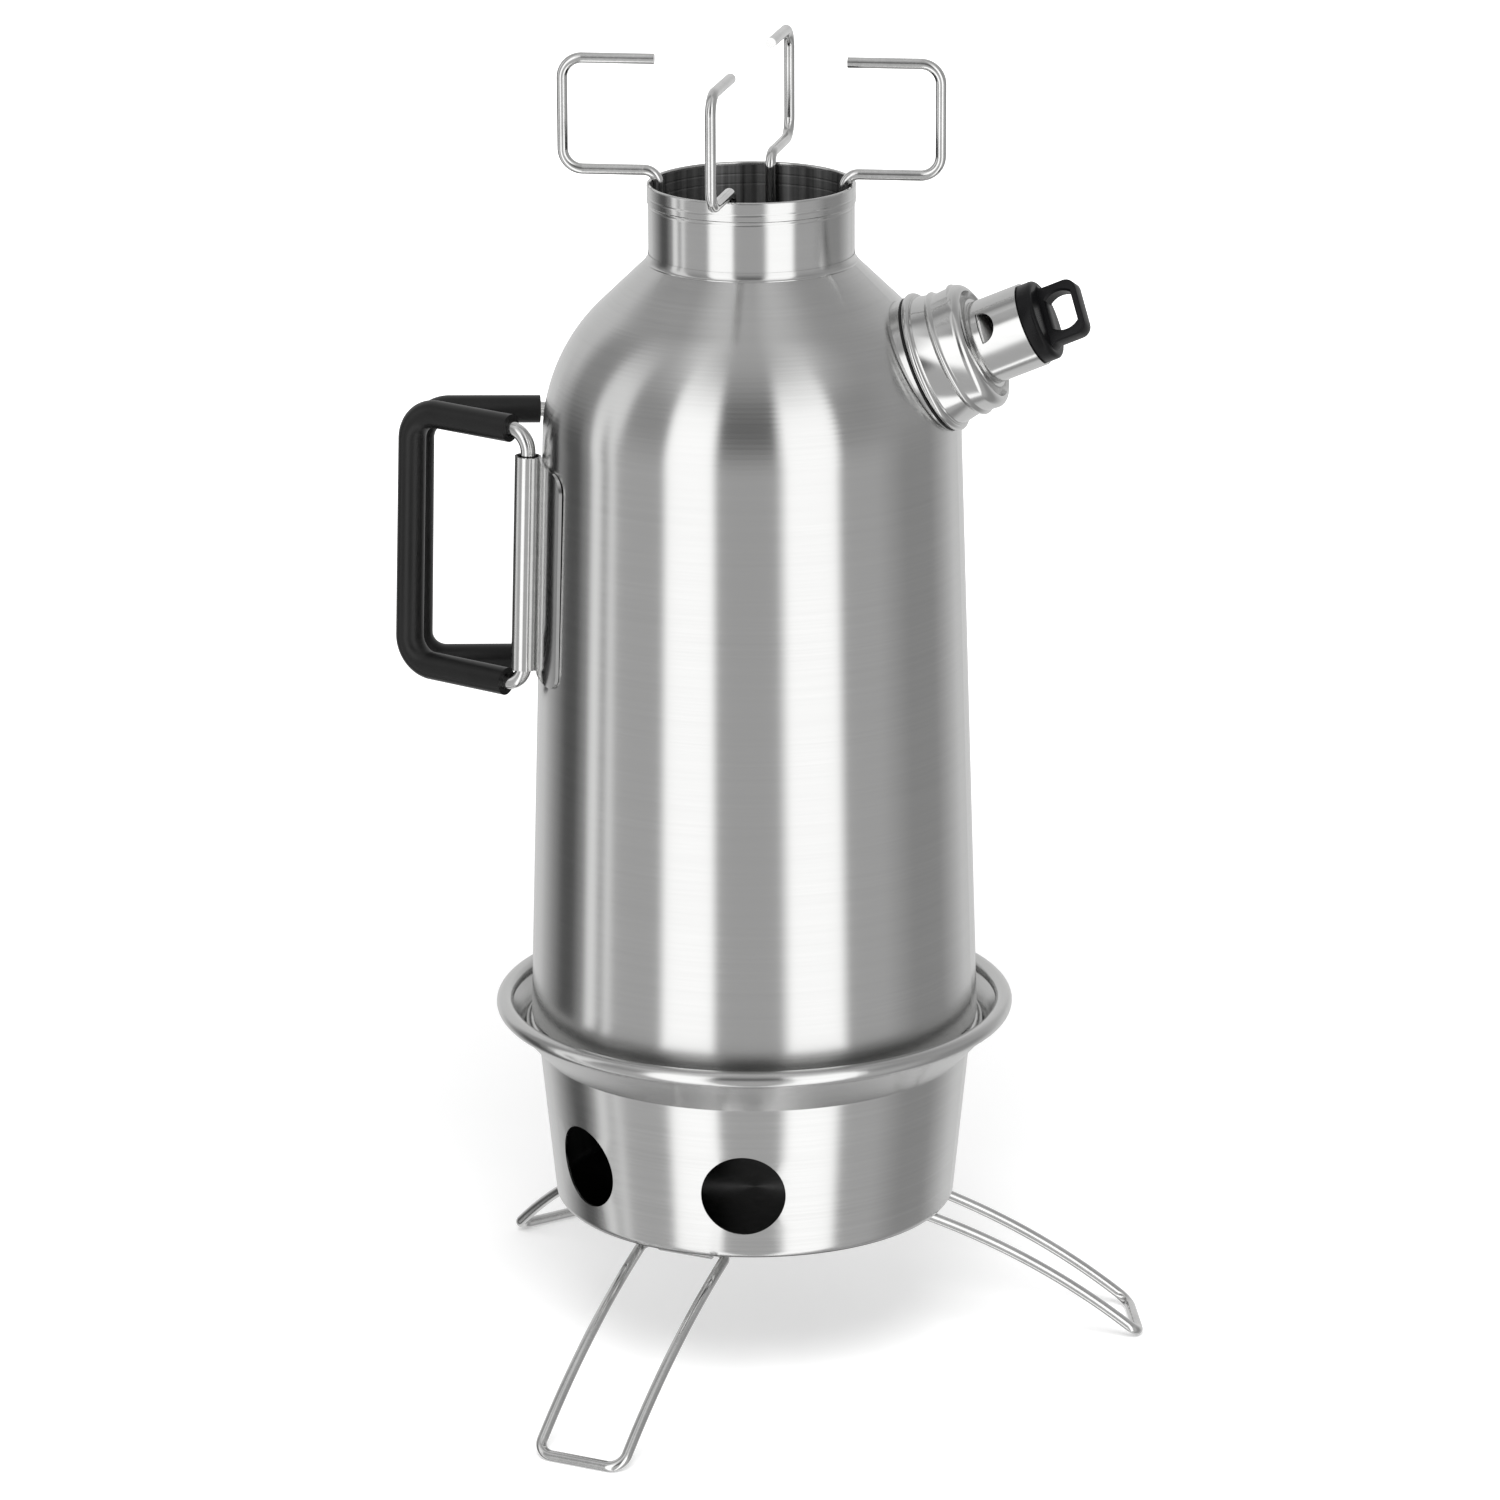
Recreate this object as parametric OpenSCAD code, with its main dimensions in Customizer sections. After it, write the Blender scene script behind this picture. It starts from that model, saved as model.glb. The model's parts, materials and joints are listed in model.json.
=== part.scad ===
// Storm kettle: a water jacket round a chimney, on a fire bowl with folding wire legs.
// Z is up from the ground, the kettle's axis is Z and the spout points along +X.

/* [Fire bowl] */
// Height of the bowl's floor above the ground
bowl_floor_z = 44; // [36:1:60]
// Outer radius of the bowl's floor
bowl_floor_r = 56.4; // [52:0.2:58]
// Rounding between the bowl's floor and its wall
bowl_corner_r = 2.5; // [1.5:0.1:4]
// Outer radius of the wall where the flared seat begins
bowl_crease_r = 61; // [59:0.2:63]
// Height of the wall from the floor to the flared seat
bowl_wall_h = 45.4; // [40:0.2:60]
// Lean of the flared seat from vertical
bowl_flare = 42; // [38:1:48]
// Distance by which the rolled rim stands out over the seat's upper end
rim_lap = 0.65; // [0.4:0.05:1]
// Height of the rolled rim's middle above the start of the seat
bowl_rim_h = 12.6; // [11:0.1:14]
// Radius of the rolled rim's section
bowl_curl_r = 2.35; // [1.8:0.05:3]
// Thickness of the bowl's sheet
bowl_sheet = 0.8; // [0.6:0.05:1]
// Diameter of a draught hole
draught_d = 23.5; // [14:0.5:26]
// Height of the draught holes above the bowl's floor
draught_h = 19.5; // [16:0.5:24]
// Half the angle between the two draught holes of a pair
draught_spread = 25.6; // [20:0.2:40]
// Turn of the draught holes from the first leg to the middle of a pair
draught_turn = 237.4; // [220:0.2:260]
// Turn of the bowl and its legs about the kettle's axis
bowl_turn = 17.7; // [-60:0.1:60]

/* [Legs] */
// Diameter of the leg wire
leg_wire_d = 3; // [2.5:0.1:3.5]
// Radius from the axis to a leg's hinge
leg_hinge_r = 43.5; // [42:0.5:46]
// Radius from the axis to a foot
leg_foot_r = 109.5; // [100:0.5:120]
// Width of a leg between the middles of its wires
leg_w = 26.1; // [23:0.1:30]
// Fall of a leg's wires where they leave the hinge
leg_fall = 22; // [14:0.5:24]
// Bend radius at a leg's hinge
leg_root_bend = 3.4; // [3:0.1:4]
// Bend radius at the corners of a foot
leg_foot_bend = 4.5; // [3.5:0.1:6]
// Width of a hinge bracket round the bowl
bracket_w = 34; // [30:1:38]
// Depth of a hinge bracket, from inside to outside
bracket_depth = 13; // [10:0.5:14]
// Length of the rolled sleeve that holds a leg
bracket_sleeve = 16; // [10:0.5:17]
// Thickness of the hinge brackets' sheet
bracket_sheet = 0.8; // [0.6:0.05:1]

/* [Kettle body] */
// Distance from the start of the bowl's seat out to the kettle's wall at its lower edge
shell_out = 2.1; // [0.5:0.1:3.5]
// Lean of the kettle's wall from vertical
wall_lean = 1.75; // [1:0.05:2.5]
// Height from the wall's lower edge to the foot of the chimney neck
shell_h = 216.8; // [200:0.2:240]
// Slope of the shoulder below the neck, from level
shoulder_slope = 44; // [40:0.5:50]
// Rounding between the wall and the shoulder
shoulder_r = 51; // [44:0.5:56]
// Radius of the rolled bead at the kettle's base
bead_r = 2.2; // [1.8:0.05:2.6]
// Distance from the bead's middle in to the wall's outer radius
bead_inset = 0.6; // [0.3:0.05:1]
// Height of the groove between the bead and the wall
groove_h = 1.2; // [0.8:0.1:2]
// Thickness of the kettle's sheet
kettle_sheet = 0.8; // [0.6:0.05:1]
// Width of the water space at its bottom, from the flue to the shell's inner web
jacket_w = 9.3; // [6.5:0.1:14]
// Outer radius of the chimney neck
neck_r = 28.4; // [26:0.1:30]
// Height of the chimney neck above the shoulder
neck_h = 21; // [18:0.1:28]
// Length of straight flue below the foot of the neck
flue_straight = 14; // [8:1:24]
// Height of the hemmed band round the chimney's mouth
hem_h = 5.5; // [3:0.1:8]
// Distance by which the hemmed band stands out
hem_out = 0.3; // [0.2:0.05:0.6]
// Height of the weld lip round the foot of the neck
lip_h = 1.7; // [1:0.1:3]
// Thickness of the weld lip
lip_t = 0.8; // [0.6:0.05:1.2]

/* [Spout] */
// Rise of the spout's axis from level
spout_rise = 23.8; // [22:0.2:28]
// Distance from the foot of the neck down to where the spout's axis leaves the shoulder
spout_drop = 26.6; // [24:0.2:28]
// Outer radius of the spout's tube
spout_r = 15.8; // [14.5:0.1:16]
// Wall of the spout's tube
spout_wall = 1; // [0.8:0.1:1.5]
// Length of the spout's tube inside the shell
spout_root = 5; // [5:0.5:8]
// Length of the spout's tube above the raised ring
spout_len = 11.5; // [9:0.5:12]
// Outer radius of the raised ring round the spout
collar_r = 19.4; // [18.6:0.1:20]
// Least height of the raised ring above the shoulder
collar_h = 0.3; // [0.2:0.05:1]
// Height of the screw ridges on the spout's tube
ridge_h = 0.3; // [0.2:0.05:0.4]
// Distance between the screw ridges, and travel of the cap in one turn
thread_pitch = 6; // [4:0.25:6]
// Thickness of the sealing ring
seal_t = 0.7; // [0.6:0.1:1.6]

/* [Whistle cap] */
// Outer radius of the cap's curled lip
cap_lip_r = 20; // [19.2:0.1:21]
// Radius of the curled lip's section
cap_curl_r = 1.1; // [0.8:0.05:1.3]
// Outer radius of the cap's skirt between the screw beads
cap_skirt_r = 17.4; // [17.2:0.05:18]
// Height of the cap from the curled lip's underside to its top
cap_h = 15.8; // [15:0.1:20]
// Distance by which the screw beads stand out
cap_bead_h = 0.8; // [0.4:0.05:1]
// Thickness of the cap's top
cap_top_t = 1; // [0.8:0.1:1.5]
// Depth of the recess round the whistle
cap_recess = 1.8; // [1:0.1:2.5]
// Outer radius of the whistle's tube
whistle_r = 11.7; // [10.5:0.1:12]
// Length of the whistle's tube above the cap
whistle_len = 14.9; // [12:0.1:18]
// Wall of the whistle's tube
whistle_wall = 0.8; // [0.6:0.05:1.2]
// Width of the whistle's mouth along its flat edge
mouth_w = 8.8; // [6:0.2:10]
// Height of the whistle's mouth from its flat edge
mouth_h = 4.6; // [3:0.1:5]
// Turn of the whistle's mouth from the spout's right side, upwards
mouth_turn = 29; // [0:1:90]
// Thickness of the slotted disc in the whistle
disc_t = 0.8; // [0.6:0.1:1.5]
// Radius of the black end piece
loop_r = 11.2; // [10.9:0.05:12.6]
// Length of the black end piece's ring
loop_ring_h = 4.3; // [3:0.1:7]
// Length of the pull tab
tab_len = 10.6; // [9.6:0.1:14]
// Width of the pull tab
tab_w = 16.2; // [14:0.1:17]
// Turn of the pull tab about the spout's axis
tab_turn = -28; // [-90:1:90]
// Thickness of the pull tab
tab_t = 5.6; // [4:0.1:7]
// Radius of the pull tab's hole
tab_hole_r = 5.5; // [4:0.1:5.8]
// Distance from the hole's middle to its flat outer edge
tab_hole_flat = 3.6; // [2:0.1:4]

/* [Handle] */
// Diameter of the handle wire
handle_wire_d = 4.2; // [3.6:0.1:4.6]
// Outer diameter of the hose on the handle
hose_d = 7.8; // [7:0.1:8.2]
// Angle from the handle's middle plane to a hinge
hinge_spread = 16; // [14:0.5:20]
// Height of the hinge sleeves' middle above the wall's lower edge
hinge_mid_h = 130.9; // [120:0.1:140]
// Length of a hinge sleeve
sleeve_len = 61; // [50:0.5:62]
// Outer radius of a hinge sleeve
sleeve_r = 3.7; // [3.4:0.05:3.8]
// Thickness of the hinge brackets' sheet
sleeve_sheet = 0.8; // [0.6:0.05:0.9]
// Width of a bracket's leaf round the wall, from the sleeve's middle
leaf_w = 25; // [16:0.5:30]
// Rounding of the leaf's outer corners
leaf_corner_r = 5; // [2:0.5:7]
// Distance from a hinge to the middle of its grip
loop_reach = 39.5; // [34:0.5:46]
// Height of a loop between its bars, at the hinge
loop_h = 72.8; // [72:0.1:80]
// Bend radius beside the hinge
loop_root_bend = 6; // [5:0.25:7]
// Bend radius beside the grip
loop_grip_bend = 8; // [6:0.25:9]
// Height of the right loop above the middle of the sleeves
right_loop_lift = 1; // [-1.2:0.1:1.2]
// Height of the left loop above the middle of the sleeves
left_loop_lift = -0.6; // [-1.2:0.1:1.2]
// Gap between the two closed grips
grip_gap = 0.8; // [0.6:0.1:4]

/* [Pot support] */
// Diameter of the pot support's wire
pot_wire_d = 3; // [2.5:0.1:3.4]
// Turn of the pot support about the kettle's axis
pot_turn = 7; // [-45:1:45]
// Angle between the two wires of the pot support
pot_cross = 85; // [70:1:110]
// Radius from the axis to a support's upright
pot_upright_r = 52; // [48:0.5:60]
// Radius from the axis to the free end of a top bar
pot_end_r = 26.5; // [22:0.5:34]
// Height from a lower bar to a top bar
pot_h = 30.8; // [26:0.2:40]
// Depth of the lower crossbar below the chimney's mouth
pot_depth = 21; // [17:0.5:26]
// Bend radius at the uprights
pot_bend = 5.5; // [4:0.25:7]
// Bend radius inside the chimney
pot_neck_bend = 4; // [3:0.25:4.5]

/* [Fits] */
// Gap between welded pieces
weld_gap = 0.05; // [0.02:0.01:0.08]
// Gap between round pieces that rest on each other
seat_gap = 0.3; // [0.2:0.05:0.4]
// Gap round a leg's wire in its sleeve
leg_fit = 0.1; // [0.05:0.01:0.15]
// Gap between the cap and the spout's ridges
thread_fit = 0.3; // [0.2:0.05:0.4]
// Gap between the sealing ring and each face that it closes
seal_fit = 0.05; // [0.02:0.01:0.1]
// Gap between the pot support and the chimney's wall
chimney_fit = 0.5; // [0.3:0.1:1]
// Gap round the wire in its hose, and round a plug in its tube
push_fit = 0.05; // [0.02:0.01:0.08]

/* [Hidden] */
$fn = 72;
arc_steps = 28;
leg_count = 3;
wire_end_gap = 2;
joint_swell = 0.005;
sleeve_off = 0.1;
leaf_start = 1.2;

// Cap: groove over the lip, flared skirt, two rounded screw beads, crown, collar round the whistle
lip_groove = 0.4;
flare_in = 0.7;
flare_len = 3.6;
low_bead_up = 5.3;
low_bead_half = 2.2;
top_bead_down = 1;
top_bead_half = 3;
top_bead_share = 0.6;
crown_r = 1.6;
collar_wall = 1;
collar_up = 0.3;
tube_below = 1;
mouth_up = 2.9;
slot_w = 1.2;
slot_in = 2;
plug_len = 4;
tab_edge = 1.9;
tab_corner = 3;
tab_foot_r = 2;
ring_round = 1.2;

// Bowl: floor, wall, seat and rolled rim
crease_z = bowl_floor_z + bowl_wall_h;
seat_top = [bowl_crease_r + bowl_rim_h * tan(bowl_flare), crease_z + bowl_rim_h];
bowl_rim_r = seat_top[0] + rim_lap;
rim_c = [bowl_rim_r - bowl_curl_r, seat_top[1]];
bowl_taper = atan2(bowl_crease_r - bowl_floor_r, bowl_wall_h);
curl_slit = 0.8;
rim_slit_at = -75;
bead_slit_at = 125;

// Kettle: the bead rests on the seat, and all heights of the kettle follow from it
shell_base_r = bowl_crease_r + shell_out;
bead_c_r = shell_base_r - bead_inset;
seat_drop = (bead_c_r - bowl_crease_r) * cos(bowl_flare);
bead_z = crease_z + (bowl_sheet + bead_r + seat_gap + seat_drop) / sin(bowl_flare);
wall_z = bead_z + bead_r + groove_h;
neck_z = wall_z + shell_h;
top_z = neck_z + neck_h;
web_r = bead_c_r - bead_r;
flue_base_r = web_r - jacket_w;
plate_z = bead_z + bead_r / 2;
shell_top_r = neck_r + weld_gap;

// Shoulder: an arc that touches the wall and the slope below the neck
slope_run = 1 / tan(shoulder_slope);
wall_run = tan(wall_lean);
corner_z = (neck_r + neck_z * slope_run - shell_base_r - wall_z * wall_run) / (slope_run - wall_run);
corner_r = wall_r(corner_z);
arc_tangent = shoulder_r * tan((90 - wall_lean - shoulder_slope) / 2);
arc_c = [
    corner_r + arc_tangent * sin(wall_lean) - shoulder_r * cos(wall_lean),
    corner_z - arc_tangent * cos(wall_lean) - shoulder_r * sin(wall_lean)
];

// Spout: heights along its axis from where it leaves the shoulder
spout_z = neck_z - spout_drop;
spout_x = arc_c[0] + sqrt(pow(shoulder_r, 2) - pow(spout_z - arc_c[1], 2));
normal_off = abs(asin((spout_z - arc_c[1]) / shoulder_r) - spout_rise);
skin_run = shoulder_r * cos(normal_off);
skin_lean = 2 * shoulder_r * sin(normal_off) * collar_r;
skin_high_s = sqrt(pow(skin_run, 2) - pow(collar_r, 2) + skin_lean) - skin_run;
skin_low_s = sqrt(pow(skin_run, 2) - pow(collar_r, 2) - skin_lean) - skin_run;
collar_s = skin_high_s + collar_h;
spout_end_s = collar_s + spout_len;
lip_s = collar_s + seal_t;
cap_bore_r = spout_r + ridge_h + thread_fit;
cap_top_s = lip_s + cap_h;
recess_s = cap_top_s - cap_recess;
skirt_s = lip_s + 2 * cap_curl_r + lip_groove;
rim_s = cap_top_s - crown_r;
whistle_s = recess_s - cap_top_t - tube_below;
mouth_s = cap_top_s + mouth_up;
loop_s = cap_top_s + whistle_len;

// Handle: hinges beside the wall, loops turned in until the grips meet
hinge_z = wall_z + hinge_mid_h;
hinge_off = weld_gap + sleeve_r + sleeve_off;
hinge_r = wall_r(hinge_z) + hinge_off / cos(wall_lean);
flank_r = wall_r(hinge_z - sleeve_len / 2) / cos(wall_lean);
hinge_y = hinge_r * sin(hinge_spread);
close_turn = asin((hinge_y - (hose_d + grip_gap) / 2) / loop_reach);
bar_len = loop_reach - loop_root_bend - loop_grip_bend;
grip_len = loop_h - 2 * loop_grip_bend;

// Legs: an arch from the hinge to the foot
leg_hinge_z = bowl_floor_z - bracket_sheet - seat_gap - leg_wire_d / 2;
leg_run = [leg_foot_r - leg_hinge_r, leg_hinge_z - leg_wire_d / 2];
arch_x = leg_run[0] * cos(leg_fall) + leg_run[1] * sin(leg_fall) - leg_root_bend;
arch_y = leg_run[1] * cos(leg_fall) - leg_run[0] * sin(leg_fall);
arch_turn = 2 * atan2(arch_y, arch_x + leg_foot_bend);
arch_r = (arch_y - leg_foot_bend * sin(arch_turn)) / (1 - cos(arch_turn));

// Pot support: bends that rest on the chimney's rim, uprights outside it, crossbars inside it
pot_leg_r = neck_r - kettle_sheet - chimney_fit - pot_wire_d / 2;
rim_half = (kettle_sheet + hem_out) / 2;
bend_in = pot_neck_bend - pot_wire_d / 2 - rim_half - seat_gap;
bend_out = bend_in + seat_gap - chimney_fit;
pot_low_z = top_z - rim_half + pot_neck_bend - sqrt(max(0, pow(bend_in, 2) - pow(bend_out, 2)));

steel = "#b8babc";
wire_steel = "#8d8f91";
black = "#1d1d1e";

// Outer radius of the kettle's conical wall at a height
function wall_r(z) = shell_base_r - (z - wall_z) * tan(wall_lean);

// Height of the shoulder's straight slope at a radius
function slope_z(r) = neck_z - (r - neck_r) * tan(shoulder_slope);

// Points of an arc about c
function arc(c, r, a0, a1, n = arc_steps) =
    [for (i = [0:n]) let (a = a0 + (a1 - a0) * i / n) c + r * [cos(a), sin(a)]];

// The list in reverse order
function turned(list) = [for (i = [len(list) - 1:-1:0]) list[i]];

// Wall and shoulder of the kettle, moved out by a distance, from the lower edge to the neck
function skin(out) = concat(
    [[shell_base_r + out / cos(wall_lean), wall_z]],
    arc(arc_c, shoulder_r + out, wall_lean, 90 - shoulder_slope),
    [[shell_top_r, slope_z(shell_top_r) + out / cos(shoulder_slope)]]
);

// Outside of the bowl's wall at a height above its floor
function bowl_wall_r(h) = bowl_floor_r + h * tan(bowl_taper);

// Swell of a rounded bead at a distance from its middle
function swell(s, mid, half) = abs(s - mid) < half ? (1 + cos(180 * (s - mid) / half)) / 2 : 0;

// Outside of the cap's skirt along the spout's axis
function cap_r(s) = cap_skirt_r
    + (cap_lip_r - flare_in - cap_skirt_r) * max(0, 1 - (s - skirt_s) / flare_len)
    + cap_bead_h * swell(s, skirt_s + low_bead_up, low_bead_half)
    + cap_bead_h * top_bead_share * swell(s, rim_s - top_bead_down, top_bead_half);

// A round rod from the origin along Z, then bent: each step is a straight length, a bend radius,
// a bend angle towards the rod's own X and a turn of X about the rod before the bend
module bent_rod(r, steps, i = 0) {
    straight = steps[i][0];
    bend = steps[i][1];
    angle = steps[i][2];
    if (straight > 0) cylinder(r = r, h = straight);
    if (i > 0) sphere(r + joint_swell);
    if (angle > 0)
        translate([0, 0, straight]) rotate(steps[i][3]) {
            if (straight > 0) sphere(r + joint_swell);
            translate([bend, 0, 0]) rotate([90, 0, 180])
                rotate_extrude(angle = angle) translate([bend, 0]) circle(r);
            if (i + 1 < len(steps))
                translate([bend * (1 - cos(angle)), 0, bend * sin(angle)]) rotate([0, angle, 0])
                    bent_rod(r, steps, i + 1);
        }
}

// Section of a rolled edge with its slit at an angle
module rolled_edge(r, sheet, slit_at) {
    difference() {
        circle(r);
        circle(r - sheet);
        rotate(slit_at) translate([0, -curl_slit / 2]) square([r + 1, curl_slit]);
    }
}

// A flat plate with rounded corners, centred
module rounded_plate(w, h, r) {
    square([w - 2 * r, h], center = true);
    square([w, h - 2 * r], center = true);
    for (x = [-1, 1], y = [-1, 1])
        translate([x * (w / 2 - r), y * (h / 2 - r)]) circle(r);
}

module at_spout() {
    translate([spout_x, 0, spout_z]) rotate([0, 90 - spout_rise, 0]) children();
}

module at_leg(i) {
    rotate(bowl_turn + i * 360 / leg_count) children();
}

// Frame of a hinge: Z along the sleeve, X away from the kettle; side is -1 on the right, 1 on the left
module at_hinge(side) {
    rotate(180 - side * hinge_spread) translate([hinge_r, 0, hinge_z]) rotate([0, -wall_lean, 0]) children();
}

// Frame of a closed loop: X from the hinge to the grip
module at_loop(side) {
    lift = side < 0 ? right_loop_lift : left_loop_lift;
    at_hinge(side) rotate(side * (hinge_spread + close_turn)) translate([0, 0, lift]) children();
}

module fire_bowl() {
    inner_r = bowl_curl_r - bowl_sheet;
    corner_c = [bowl_wall_r(bowl_corner_r) - bowl_corner_r / cos(bowl_taper), bowl_floor_z + bowl_corner_r];
    corner = arc(corner_c, bowl_corner_r, -90, -bowl_taper, 10);
    corner_in = arc(corner_c, bowl_corner_r - bowl_sheet, -90, -bowl_taper, 10);
    crease_in = [
        bowl_crease_r - bowl_sheet / cos(bowl_taper),
        crease_z + bowl_sheet * tan((bowl_flare - bowl_taper) / 2)
    ];
    seat_in = seat_top - [bowl_sheet / cos(bowl_flare), 0];
    color(steel)
    difference() {
        rotate_extrude() {
            translate(rim_c) rolled_edge(bowl_curl_r, bowl_sheet, rim_slit_at);
            difference() {
                polygon(concat(
                    [[0, bowl_floor_z]], corner, [[bowl_crease_r, crease_z], seat_top, seat_in, crease_in],
                    turned(corner_in), [[0, bowl_floor_z + bowl_sheet]]
                ));
                translate(rim_c) circle(inner_r + bowl_sheet / 2);
                translate([0, rim_c[1] - bowl_sheet / 2]) square([2 * bowl_rim_r, bowl_curl_r]);
            }
        }
        for (side = [0, 180], spread = [-1, 1])
            rotate(bowl_turn + draught_turn + side + spread * draught_spread)
                translate([0, 0, bowl_floor_z + draught_h]) rotate([0, 90, 0])
                    cylinder(d = draught_d, h = bowl_rim_r);
    }
}

module leg_bracket(i) {
    sleeve_r = leg_wire_d / 2 + leg_fit + bracket_sheet;
    color(steel)
    at_leg(i)
    difference() {
        union() {
            translate([leg_hinge_r - bracket_depth / 2, -bracket_w / 2, bowl_floor_z - bracket_sheet])
                cube([bracket_depth, bracket_w, bracket_sheet]);
            translate([leg_hinge_r, 0, leg_hinge_z]) rotate([90, 0, 0])
                cylinder(r = sleeve_r, h = bracket_sleeve, center = true);
            translate([leg_hinge_r - sleeve_r, -bracket_sleeve / 2, leg_hinge_z])
                cube([2 * sleeve_r, bracket_sleeve, bowl_floor_z - bracket_sheet / 2 - leg_hinge_z]);
        }
        translate([leg_hinge_r, 0, leg_hinge_z]) rotate([90, 0, 0])
            cylinder(r = leg_wire_d / 2 + leg_fit, h = bracket_w + 2, center = true);
    }
}

module leg(i) {
    half = leg_w / 2;
    pivot = half - leg_root_bend - wire_end_gap / 2;
    color(wire_steel)
    at_leg(i) translate([leg_hinge_r, wire_end_gap / 2, leg_hinge_z])
        rotate([0, leg_fall, 0]) rotate([-90, 0, 0])
        bent_rod(leg_wire_d / 2, [
            [pivot, leg_root_bend, 90, 0],
            [0, arch_r, arch_turn, 90],
            [0, leg_foot_bend, 90, -90],
            [leg_w - 2 * leg_foot_bend, leg_foot_bend, 90, 0],
            [0, arch_r, arch_turn, 90],
            [0, leg_root_bend, 90, -90],
            [pivot, 0, 0, 0]
        ]);
}

module outer_shell() {
    step = shell_base_r - web_r - kettle_sheet;
    step_z = wall_z - step;
    in_lift = kettle_sheet * tan(22.5);
    outside = skin(0);
    inside = skin(-kettle_sheet);
    color(steel)
    difference() {
        rotate_extrude() {
            translate([bead_c_r, bead_z]) rolled_edge(bead_r, kettle_sheet, bead_slit_at);
            polygon(concat(
                [[web_r + kettle_sheet, bead_z], [web_r + kettle_sheet, step_z]], outside, turned(inside),
                [[web_r, step_z + in_lift], [web_r, bead_z]]
            ));
        }
        at_spout() translate([0, 0, skin_low_s - spout_root])
            cylinder(r = collar_r + weld_gap, h = spout_end_s - skin_low_s + spout_root);
    }
}

module flue() {
    foot_z = neck_z - flue_straight;
    inner_r = neck_r - kettle_sheet;
    color(steel)
    rotate_extrude()
        polygon(concat(
            [
                [flue_base_r, plate_z], [neck_r, foot_z], [neck_r, top_z - hem_h],
                [neck_r + hem_out, top_z - hem_h + hem_out]
            ],
            arc([inner_r + rim_half, top_z - rim_half], rim_half, 0, 180, 12),
            [[inner_r, foot_z], [flue_base_r - kettle_sheet, plate_z]]
        ));
}

module base_ring() {
    out_r = web_r - weld_gap;
    color(steel)
    rotate_extrude() {
        translate([flue_base_r + weld_gap, plate_z])
            square([out_r - flue_base_r - weld_gap, kettle_sheet]);
        translate([out_r - kettle_sheet, bead_z - bead_r / 2])
            square([kettle_sheet, bead_r + kettle_sheet]);
    }
}

module neck_collar() {
    in_r = neck_r + weld_gap;
    out_r = in_r + lip_t;
    color(steel)
    rotate_extrude()
        polygon([
            [in_r, slope_z(in_r) + weld_gap], [out_r, slope_z(out_r) + weld_gap],
            [out_r, neck_z + lip_h], [in_r, neck_z + lip_h]
        ]);
}

module spout_collar() {
    foot_s = skin_low_s - kettle_sheet;
    color(steel)
    at_spout() rotate_extrude()
        translate([spout_r + weld_gap, foot_s]) square([collar_r - spout_r - weld_gap, collar_s - foot_s]);
}

module spout_neck() {
    color(steel)
    at_spout() rotate_extrude() {
        translate([spout_r - spout_wall, skin_low_s - spout_root])
            square([spout_wall, spout_end_s - skin_low_s + spout_root]);
        for (s = [spout_end_s - 1, spout_end_s - 1 - thread_pitch])
            translate([spout_r, s]) polygon([[-ridge_h, -1], [0, -1], [ridge_h, 0], [0, 1], [-ridge_h, 1]]);
    }
}

module spout_gasket() {
    color(black)
    at_spout() rotate_extrude()
        translate([cap_bore_r, collar_s + seal_fit]) square([collar_r - cap_bore_r, seal_t - 2 * seal_fit]);
}

module whistle_cap() {
    step = 0.5;
    skirt = [for (s = [skirt_s:step:rim_s]) [cap_r(s), s]];
    crown_c = [cap_r(rim_s) - crown_r, rim_s];
    hole_r = whistle_r + push_fit;
    color(steel)
    at_spout() rotate_extrude() {
        translate([cap_lip_r - cap_curl_r, lip_s + cap_curl_r]) circle(cap_curl_r);
        polygon(concat(
            [[cap_bore_r, lip_s], [cap_lip_r - cap_curl_r, lip_s], [cap_lip_r - cap_curl_r, skirt_s]],
            skirt, arc(crown_c, crown_r, 0, 90, 10),
            arc([hole_r + collar_wall + cap_recess, cap_top_s], cap_recess, 270, 180, 6),
            [
                [hole_r + collar_wall, cap_top_s + collar_up], [hole_r, cap_top_s + collar_up],
                [hole_r, recess_s - cap_top_t], [cap_bore_r, recess_s - cap_top_t]
            ]
        ));
    }
}

module whistle_tube() {
    mouth_arc_r = (pow(mouth_h, 2) + pow(mouth_w / 2, 2)) / (2 * mouth_h);
    color(steel)
    at_spout()
    difference() {
        translate([0, 0, whistle_s]) cylinder(r = whistle_r, h = loop_s - whistle_s);
        translate([0, 0, whistle_s - 1]) cylinder(r = whistle_r - whistle_wall, h = loop_s - whistle_s + 2);
        rotate(-90 - mouth_turn) translate([0, 0, mouth_s]) rotate([0, 90, 0]) linear_extrude(2 * whistle_r)
            intersection() {
                translate([mouth_arc_r - mouth_h, 0]) circle(mouth_arc_r);
                translate([-mouth_h, -mouth_w]) square([mouth_h, 2 * mouth_w]);
            }
    }
}

module whistle_disc() {
    r = whistle_r - whistle_wall - push_fit;
    slot_len = mouth_w - 2 * slot_w;
    color(steel)
    at_spout()
    translate([0, 0, mouth_s - disc_t])
    difference() {
        cylinder(r = r, h = disc_t);
        rotate(-90 - mouth_turn) translate([r - slot_in, -slot_len / 2, -1])
            cube([slot_w, slot_len, disc_t + 2]);
    }
}

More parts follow.
